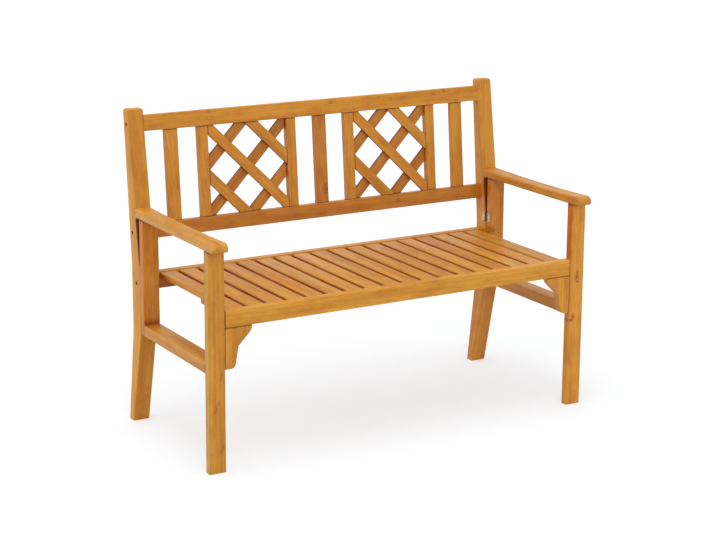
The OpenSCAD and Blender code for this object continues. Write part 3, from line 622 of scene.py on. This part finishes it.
# Painted shade: the stile darkens towards the stretcher, and the corner between them more so.
above_stretcher = (STILE_FOOT_SHADE, [(UP, stretcher_top + mm(47), stretcher_top - mm(8))])
corner_on_stile = (CORNER_SHADE, [(UP, stretcher_top + mm(18), stretcher_top + mm(2)),
                                  (FORWARDS, -stile_front - mm(2), -stile_front - mm(0.5))])
corner_on_stretcher = (CORNER_SHADE, [(BACKWARDS, stile_front - mm(60.5), stile_front - mm(3.5)),
                                      (UP, stretcher_top - mm(2.5), stretcher_top - mm(0.5))])
for side in SIDES:
    finish_board("arm_stile_" + side, "Z", FIRST_BOARD[side] + 2, knots=stile_knots[side],
                 knot_depth=STILE_KNOT_DEPTH, tone=STILE_TONE,
                 shades=[under_armrest, above_stretcher, corner_on_stile])
    finish_board("side_stretcher_" + side, "Y", FIRST_BOARD[side] + 3, tone=STRETCHER_TONES[side],
                 shades=[corner_on_stretcher])
    finish_board("armrest_" + side, "Y", FIRST_BOARD[side] + 4, tone=ARMREST_TONES[side])
print("stiles, stretchers and armrests finished")

# %% Corner brackets
for side in SIDES:
    bracket = "corner_bracket_" + side
    bracket_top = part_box(bracket)[1].z
    under_rail = (SEAM_STAIN, [(UP, bracket_top - JOINT_FAR, bracket_top - JOINT_NEAR)])
    finish_board(bracket, "Z", FIRST_BOARD[side] + 5, tone=LEG_TONES[side],
                 shades=end_shades(bracket, SEAM_STAIN)[side] + [under_rail])
print("brackets finished, with tops at", round(bracket_top, 4))

# %% [markdown]
# ## The back
# The rails of the back run along the bench, and the slats and stiles stand between them, with a dark line
# where they meet a rail. The back leans, so that line is placed along its slope. In the lattice the bars
# slant by 45 degrees, in two layers, and the fibres follow each bar.

# %% Rails, slats and stiles of the back
DEEP_TONE, MID_TONE = (0.84, 0.71, 0.50), (0.94, 0.89, 0.66)
TOP_RAIL_TONE, CENTRE_TONE = (1.01, 0.98, 0.86), (0.83, 0.69, 0.50)
RAIL_KNOT_DEPTH = 0.6
BACK_TILT = math.radians(5.147)
UP_THE_BACK = (0, math.sin(BACK_TILT), math.cos(BACK_TILT))
BACK_FOOT_IN, BACK_FOOT_HEIGHT = mm(450.318), mm(524)
BOTTOM_RAIL_WIDTH, TOP_RAIL_UP = mm(41), mm(293.36)

rail_knots = [(mm(35.3, 237.2, 850.7), mm(5, 5, 3.5)), (mm(-349.8, 237.5, 854.1), mm(5, 5, 3.5)),
              (mm(383.5, 236.9, 847.6), mm(5, 5, 3)), (mm(461, 234.6, 821.7), mm(6, 5, 3.5)),
              (mm(419.6, 237.5, 853.6), mm(4, 4, 3))]
slat_knots = [(mm(9.6, 232.7, 601.5), mm(5, 1, 8.5)), (mm(9.9, 233.4, 616), mm(3.4, 1, 5))]
back_foot = Vector(UP_THE_BACK).dot(Vector((0, leg_low.y + BACK_FOOT_IN, BACK_FOOT_HEIGHT)))
bottom_rail_edge, top_rail_edge = back_foot + BOTTOM_RAIL_WIDTH, back_foot + TOP_RAIL_UP
at_rails = [(JOINT_LINE_AND_SHADE, [(UP_THE_BACK, bottom_rail_edge + JOINT_FAR, bottom_rail_edge + JOINT_NEAR)]),
            (JOINT_LINE_AND_SHADE, [(UP_THE_BACK, top_rail_edge - JOINT_FAR, top_rail_edge - JOINT_NEAR)])]
finish_board("back_top_rail", "X", 14, knots=rail_knots, knot_depth=RAIL_KNOT_DEPTH, tone=TOP_RAIL_TONE)
finish_board("back_bottom_rail", "X", 15, knots=[(mm(250, 215, 545), mm(7, 5, 4))],
             knot_depth=RAIL_KNOT_DEPTH, tone=DEEP_TONE)
finish_board("back_slat_left", "Z", 16, tone=MID_TONE, shades=at_rails)
finish_board("back_slat_centre", "Z", 17, tone=CENTRE_TONE, shades=at_rails, knots=slat_knots)
finish_board("back_slat_right", "Z", 18, tone=MID_TONE, shades=at_rails)
for number, name in enumerate(["left_outer", "left_inner", "right_inner", "right_outer"], start=19):
    finish_board("lattice_" + name + "_stile", "Z", number, tone=MID_TONE, shades=at_rails)
print("back finished, with", round((top_rail_edge - bottom_rail_edge) * 1000, 1), "mm between the rails")

# %% Slanting bars of the lattice
BAR_SLANT = math.radians(45)
BAR_PITCH, BAR_HALF = mm(97.7), mm(15)
EDGE_START, EDGE_FULL = BAR_HALF - mm(1.3), BAR_HALF - mm(0.1)


def slanting_wood(name, number, turn, tone):
    """Wood whose fibres slant in the plane of the back; turn is 1 for a rise to the right."""
    material = stained_wood("wood_" + name, "X", (0, 0, 0), number, tone=tone)
    tree = material.node_tree
    shader = tree.nodes["Principled BSDF"]
    place = next(n for n in tree.nodes if n.bl_idname == "ShaderNodeTexCoord").outputs["Object"]
    spin = Euler((BACK_TILT, BAR_SLANT * turn, 0))
    offset = -(spin.to_matrix() @ node_middle(name))
    level = add_node(tree, "ShaderNodeMapping", None,
                     {"Vector": place, "Location": offset, "Rotation": spin})
    for link in list(place.links):
        if link.to_node != level:
            tree.links.new(level.outputs[0], link.to_socket)

    # Painted shade: the long edges of every bar are darkened, for the shadow along its sides.
    across = add_node(tree, "ShaderNodeSeparateXYZ", None, {0: level.outputs[0]}).outputs["Z"]
    from_middle = reckon(tree, "PINGPONG", across, BAR_PITCH / 2)
    edge = eased_range(tree, from_middle, EDGE_START, EDGE_FULL, 0, 1)
    stain = shader.inputs["Base Color"].links[0].from_socket
    colour = colour_mix(tree, "MULTIPLY", edge, stain, LATTICE_EDGE_SHADE)
    at_stiles = end_shades(name, JOINT_LINE_AND_SHADE)
    joints = at_rails + at_stiles["left"] + at_stiles["right"]
    tree.links.new(lay_shades(tree, place, colour, joints), shader.inputs["Base Color"])
    dress(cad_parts[name], material)


for number, side in enumerate(SIDES, start=23):
    slanting_wood("lattice_" + side + "_front_bars", number, -1, MID_TONE)
    slanting_wood("lattice_" + side + "_rear_bars", number + 2, 1, DEEP_TONE)
print("lattice finished, with a bar every", round(BAR_PITCH * 1000, 1), "mm")

# %% [markdown]
# ## Softened edges
# The lattice bars and the brackets have sharp edges in the solids, but a sanded board never does: its
# edges catch a thin line of light. A bevel softens them. It works on joined faces only, so a weld comes
# first, because the solids arrive as loose triangles. The angle limit keeps the flat faces and the curve
# of the bracket as they are.

# %% Bevel the bars and the brackets
WELD_REACH = mm(0.01)
BAR_EDGE, BRACKET_EDGE = mm(0.8), mm(1.0)
EDGE_SEGMENTS = 2
SHARP_ANGLE = math.radians(40)


def soften(name, radius):
    """Rounds the sharp edges of a CAD board."""
    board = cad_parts[name]
    weld = board.modifiers.new("weld", "WELD")
    weld.merge_threshold = WELD_REACH
    bevel = board.modifiers.new("soft_edges", "BEVEL")
    bevel.width = radius
    bevel.segments = EDGE_SEGMENTS
    bevel.limit_method = "ANGLE"
    bevel.angle_limit = SHARP_ANGLE
    bevel.use_clamp_overlap = True
    depsgraph = bpy.context.evaluated_depsgraph_get()
    faces = len(board.evaluated_get(depsgraph).data.polygons)
    print(name, len(board.data.polygons), "faces before,", faces, "after")


for side in SIDES:
    soften("lattice_" + side + "_front_bars", BAR_EDGE)
    soften("lattice_" + side + "_rear_bars", BAR_EDGE)
    soften("corner_bracket_" + side, BRACKET_EDGE)

# %% [markdown]
# ## The seat
# Eighteen slats run from the front rail to the rear rail. Sawn from many boards, they differ a little in
# tone: some are paler, some pinker. A small shift of the stain's colour per slat shows this. The gaps
# between the slats are narrow, so the sides of a slat lie in shade. That shade is painted on the sides,
# but not on the top or the underside.

# %% Rails and batten of the seat
FRONT_RAIL_TONE = (1.11, 1.15, 1.22)
at_legs = end_shades("seat_front_rail", SEAM_STAIN)
finish_board("seat_front_rail", "X", 27, tone=FRONT_RAIL_TONE, shades=at_legs["left"] + at_legs["right"])
rear_rail_face = -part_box("seat_rear_rail")[0].y
# Painted shade: the front face of the rear rail under the slats.
below_slats = (UNDER_SLAT_SHADE, [(UP, seat_top - mm(6), seat_top - mm(16)),
                             (FORWARDS, rear_rail_face - mm(3), rear_rail_face - mm(1))])
finish_board("seat_rear_rail", "X", 28, shades=[below_slats])
finish_board("seat_batten", "X", 29)
print("rails of the seat finished")

# %% Slats of the seat
SIDE_NEAR, SIDE_FAR = mm(0.8), mm(1.6)
SLAT_DEPTH, DEPTH_SWING, DEPTH_STEP = 0.97, 0.045, 2.1
WARMTH_SWING, WARMTH_STEP = 0.04, 3.7


def slot_sides(name):
    """The painted shade on the two sides of a slat, below its rounded top and above its underside."""
    low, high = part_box(name)
    depth = [(UP, high.z - mm(0.2), high.z - mm(5)), (UP, low.z + mm(0.2), low.z + mm(1.2))]
    return [(SLOT_SHADE, depth + [(TO_RIGHT, high.x - SIDE_FAR, high.x - SIDE_NEAR)]),
            (SLOT_SHADE, depth + [(TO_LEFT, -low.x - SIDE_FAR, -low.x - SIDE_NEAR)])]


slats = sorted(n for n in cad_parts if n.startswith("seat_slat_"))
for number, name in enumerate(slats, start=30):
    depth = SLAT_DEPTH + DEPTH_SWING * math.sin(DEPTH_STEP * number)
    warmth = 1 + WARMTH_SWING * math.cos(WARMTH_STEP * number)
    tone = (depth, depth / warmth, depth / warmth)
    # Painted shade goes on the sides of the inner slats only.
    sides = [] if name in (slats[0], slats[-1]) else slot_sides(name)
    finish_board(name, "Y", number, across_face="Z", tone=tone, shades=sides)
finish_board("side_frame_dowels", "Y", 50)
print(len(slats), "slats finished")

# %% [markdown]
# ## The metal
# The hinges are thin steel with a zinc coat that has dulled, their barrels have a painted shade, nearly
# black, for the dark gap they sit in, and the bolts of the posts are blackened. All are metals to the
# shader. A soft cloud pattern in the roughness stands for years of handling, and a broader one darkens
# the colour here and there, as grime does.

# %% Zinc and steel
METAL_NOISE, GRIME_NOISE = (260, 4, 0.6), (90, 3, 0.7)
METAL_CLOUDS = (0.3, 0.7)
GRIME_RANGE, GRIME_SHARE = (0.35, 0.75, 0, 0.45), 0.55
METAL_RELIEF = {"Strength": 0.15, "Distance": 0.0001}
HINGE_Y = 178.464
BARREL_NEAR, BARREL_FAR = 2.4, 3.2
BARREL_SHADE = (0.03, 0.03, 0.03)


def metal(name, colour, rough_low, rough_high, shades=()):
    """Plated or plain steel, with cloudy roughness."""
    material, tree, shader, place = new_finish(name)
    clouds = noise(tree, place, *METAL_NOISE)
    grime = eased_range(tree, noise(tree, place, *GRIME_NOISE), *GRIME_RANGE)
    grimy = tuple(c * GRIME_SHARE for c in colour)
    shaded = colour_mix(tree, "MIX", grime, colour + (1,), grimy)
    tree.links.new(lay_shades(tree, place, shaded, shades), shader.inputs["Base Color"])
    roughness = eased_range(tree, clouds, *METAL_CLOUDS, rough_low, rough_high)
    tree.links.new(roughness, shader.inputs["Roughness"])
    shader.inputs["Metallic"].default_value = 1.0
    add_relief(tree, shader, clouds, METAL_RELIEF)
    return material


# Painted shade: the hinge barrels are nearly black.
shaded_barrel = (BARREL_SHADE, [(BACKWARDS, mm(HINGE_Y - BARREL_FAR), mm(HINGE_Y - BARREL_NEAR)),
                          (BACKWARDS, mm(HINGE_Y + BARREL_FAR), mm(HINGE_Y + BARREL_NEAR))])
zinc = metal("zinc_plate", (0.62, 0.50, 0.31), 0.32, 0.48, [shaded_barrel])
steel = metal("dull_steel", (0.30, 0.28, 0.25), 0.35, 0.55)
blackened = metal("blackened_steel", (0.045, 0.036, 0.028), 0.45, 0.60)
plated = ["pivot_washers", "pivot_bushes"]
plated += ["hinge_" + part + "_leaves_" + side for part in ("frame", "arm") for side in SIDES]
for name in plated:
    dress(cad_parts[name], zinc)
dress(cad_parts["hinge_pins"], blackened)
print("metal finished,", len(plated), "plated pieces")

# %% [markdown]
# ## Bolts and screws
# In the solids each fastener is a pin with a plain head. A real head has a recess for its key or driver,
# and in a picture that dark recess is what the eye finds. The bolts and screws through the posts have a
# hexagon socket; the small screws of the hinges and the slats have a cross. One of each kind is modelled
# upright, with its head's outer face at the origin: a short cone for the head, whose underside is inset
# and extruded into the shank. The top face is taken off, the recess is sunk where it was, and the ring
# between the two is filled, so that the screw stays a closed solid.

# %% Choose parts of a mesh in edit mode
ROUND_SIDES = 32
NEAR = 1e-5


def choose(kind, test):
    """Selects only the faces or the edges that pass the test."""
    bpy.ops.mesh.select_mode(type=kind)
    bpy.ops.mesh.select_all(action="DESELECT")
    mesh = bmesh.from_edit_mesh(bpy.context.edit_object.data)
    for item in (mesh.faces if kind == "FACE" else mesh.edges):
        if test(item):
            item.select_set(True)
    mesh.select_flush_mode()
    bmesh.update_edit_mesh(bpy.context.edit_object.data)


def on_top(item):
    """Whether all of a face or an edge lies in the plane of the head's outer face."""
    return all(abs(v.co.z) < NEAR for v in item.verts)


def stretch(*values):
    """Extrudes what is selected by a vector."""
    bpy.ops.mesh.extrude_region_move(TRANSFORM_OT_translate={"value": values})


print("heads have", ROUND_SIDES, "sides")

# %% Sink the recess of a head
BLADE_SHARE = 0.26
CROSS_BOTTOM = 0.6


def sink_hexagon(width, depth):
    """A socket for a hexagon key, in the edited mesh."""
    bpy.ops.mesh.primitive_circle_add(vertices=6, radius=width / math.sqrt(3), fill_type="NGON",
                                      location=(0, 0, 0))
    choose("FACE", on_top)
    stretch(0, 0, -depth)


def sink_cross(width, depth):
    """A recess for a cross driver: a small square with four arms, drawn together at its bottom."""
    blade = width * BLADE_SHARE
    bpy.ops.mesh.primitive_plane_add(size=blade, location=(0, 0, 0))
    for direction in [Vector(TO_RIGHT), Vector(BACKWARDS), Vector(TO_LEFT), Vector(FORWARDS)]:
        side_middle = direction * blade / 2
        choose("EDGE", lambda e: ((e.verts[0].co + e.verts[1].co) / 2 - side_middle).length < NEAR)
        stretch(*(direction * (width - blade) / 2))
    choose("FACE", on_top)
    stretch(0, 0, -depth)
    bpy.ops.transform.resize(value=(CROSS_BOTTOM, CROSS_BOTTOM, 1))


print("a cross has blades of", BLADE_SHARE, "of its width")

# %% Model one fastener
TIP_LENGTH, TIP_END = 2.5, 0.3
FACING_DOWN_LIMIT = -0.9
RIM_START, RIM_BEVEL = 0.98, 0.08
RIM_SEGMENTS = 2
MERGE_REACH = 1e-6
SMOOTH_ANGLE = math.radians(35)


def driven_screw(name, head_radius, neck_radius, head_height, shank_radius, length, sink, width, depth):
    """A screw that points down, with its head's outer face at the origin.

    sink makes the recess, which has a width and a depth. The tip and the rim are shares of the radii.
    """
    tip = TIP_LENGTH * shank_radius
    bpy.ops.object.select_all(action="DESELECT")
    bpy.ops.mesh.primitive_cone_add(vertices=ROUND_SIDES, radius1=neck_radius, radius2=head_radius,
                                    depth=head_height, location=(0, 0, -head_height / 2))
    screw = bpy.context.active_object
    screw.name = name
    bpy.ops.object.transform_apply(location=True, rotation=True, scale=True)
    bpy.ops.object.mode_set(mode="EDIT")
    choose("FACE", lambda f: f.normal.z < FACING_DOWN_LIMIT)
    if neck_radius > shank_radius:
        bpy.ops.mesh.inset(thickness=neck_radius - shank_radius)
    stretch(0, 0, head_height + tip - length)
    stretch(0, 0, -tip)
    bpy.ops.transform.resize(value=(TIP_END, TIP_END, 1))

    choose("FACE", on_top)
    bpy.ops.mesh.delete(type="FACE")
    sink(width, depth)
    choose("FACE", on_top)
    bpy.ops.mesh.delete(type="FACE")
    choose("EDGE", on_top)
    bpy.ops.mesh.fill()
    choose("EDGE", lambda e: on_top(e) and min(v.co.length for v in e.verts) > head_radius * RIM_START)
    bpy.ops.mesh.bevel(offset=head_radius * RIM_BEVEL, segments=RIM_SEGMENTS, affect="EDGES")
    bpy.ops.mesh.select_all(action="SELECT")
    bpy.ops.mesh.remove_doubles(threshold=MERGE_REACH)
    bpy.ops.mesh.normals_make_consistent(inside=False)
    open_edges = sum(not e.is_manifold for e in bmesh.from_edit_mesh(screw.data).edges)
    bpy.ops.object.mode_set(mode="OBJECT")
    bpy.ops.object.shade_smooth_by_angle(angle=SMOOTH_ANGLE)
    print(name, len(screw.data.polygons), "faces,", open_edges, "open edges")
    return screw


# %% Set copies of a fastener
TURN_STEP = 0.7


def set_screws(name, model, places, finish, node, body):
    """Copies a screw into its places, as one piece. A place is a point and a turn for the head."""
    copies = []
    for number, (point, facing) in enumerate(places):
        twin = model.copy()
        twin.data = model.data.copy()
        turned = Euler(facing).to_matrix() @ Euler((0, 0, TURN_STEP * number)).to_matrix()
        twin.rotation_euler = turned.to_euler()
        twin.location = point
        bpy.context.scene.collection.objects.link(twin)
        copies.append(twin)
    bpy.ops.object.select_all(action="DESELECT")
    for twin in copies:
        twin.select_set(True)
    bpy.context.view_layer.objects.active = copies[0]
    bpy.ops.object.join()
    bpy.ops.object.transform_apply(location=True, rotation=True, scale=True)
    piece = bpy.context.active_object
    piece.name = name
    dress(piece, finish)
    bpy.data.objects.remove(model)
    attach(piece, body)
    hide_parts(node)
    print(name, len(copies), "copies")


# %% Bolts and screws of the posts
HEAD_PLANE = 587
OUTWARDS = {side: (0, SIDES[side] * math.pi / 2, 0) for side in SIDES}
INWARDS = {side: (0, -SIDES[side] * math.pi / 2, 0) for side in SIDES}

bolt = driven_screw("bolt", head_radius=mm(4.985), neck_radius=mm(4.985), head_height=mm(4),
                    shank_radius=mm(3), length=mm(79.4), sink=sink_hexagon, width=mm(5), depth=mm(2.6))
set_screws("pivot_bolts_driven", bolt,
           [(mm(SIDES[side] * HEAD_PLANE, *PIVOT), OUTWARDS[side]) for side in SIDES],
           blackened, "pivot_bolts", "root")
screw = driven_screw("post_screw", head_radius=mm(4.985), neck_radius=mm(4.985), head_height=mm(4),
                     shank_radius=mm(3), length=mm(82), sink=sink_hexagon, width=mm(4), depth=mm(2.4))
set_screws("back_rail_screws_driven", screw,
           [(mm(SIDES[side] * HEAD_PLANE, y, z), OUTWARDS[side])
            for side in SIDES for y, z in RAIL_SCREWS],
           blackened, "back_rail_screws", "root")

# %% Screws of the hinges
LEAF_HEAD_PLANE = 541.5
HINGE_HEIGHTS = [318.5, 470]
ACROSS_LEAF, UP_LEAF = (-11, 11), (-7, 7)

screw = driven_screw("leaf_screw", head_radius=mm(2.79), neck_radius=mm(1.4), head_height=mm(1.5),
                     shank_radius=mm(1.4), length=mm(16), sink=sink_cross, width=mm(3.4), depth=mm(0.9))
set_screws("hinge_screws_driven", screw,
           [(mm(SIDES[side] * LEAF_HEAD_PLANE, HINGE_Y + y, z + up), INWARDS[side])
            for side in SIDES for z in HINGE_HEIGHTS for y in ACROSS_LEAF for up in UP_LEAF],
           steel, "hinge_screws", "root")

# %% Screws under the slats
SLAT_PITCH = 58.844
ROW_INSETS = (26.5, 184, 433.5)
SLAT_HEAD_PLANE = 402.5
FACING_DOWN = (math.pi, 0, 0)

rows = [leg_low.y * 1000 + inset for inset in ROW_INSETS]
screw = driven_screw("slat_screw", head_radius=mm(3.79), neck_radius=mm(2), head_height=mm(2.5),
                     shank_radius=mm(2), length=mm(22.5), sink=sink_cross, width=mm(4.6), depth=mm(1.3))
middle_slat = (len(slats) - 1) / 2
set_screws("seat_screws_driven", screw,
           [(mm((i - middle_slat) * SLAT_PITCH, y, SLAT_HEAD_PLANE), FACING_DOWN)
            for i in range(len(slats)) for y in rows],
           steel, "seat_screws", "seat")
